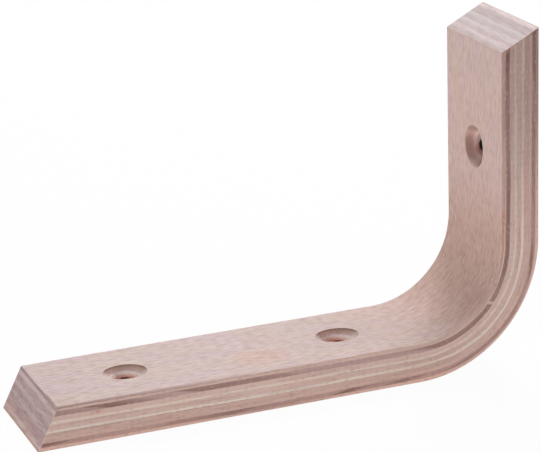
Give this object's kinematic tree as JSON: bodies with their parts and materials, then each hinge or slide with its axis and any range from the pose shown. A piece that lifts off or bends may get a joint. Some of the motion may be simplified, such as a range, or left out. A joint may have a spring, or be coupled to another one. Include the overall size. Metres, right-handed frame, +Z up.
{
  "type": "wooden shelf bracket",
  "caption": "Bent plywood L-shaped shelf bracket with unequal legs, a rounded inner corner, bevelled leg ends and countersunk screw holes.",
  "frame": {"origin": "middle of the bounding box's bottom, on the outer face of the long leg, half way across the width", "axes": "+X along the long leg, from its free tip to the bend; +Y across the width; +Z up along the short leg, which stands at the +X end"},
  "size_m": [0.129, 0.03, 0.085],
  "materials": {
    "beech_plywood": "sanded raw beech plywood, matte"
  },
  "bodies": {
    "root": {"bracket": "beech_plywood"}
  },
  "joints": []
}
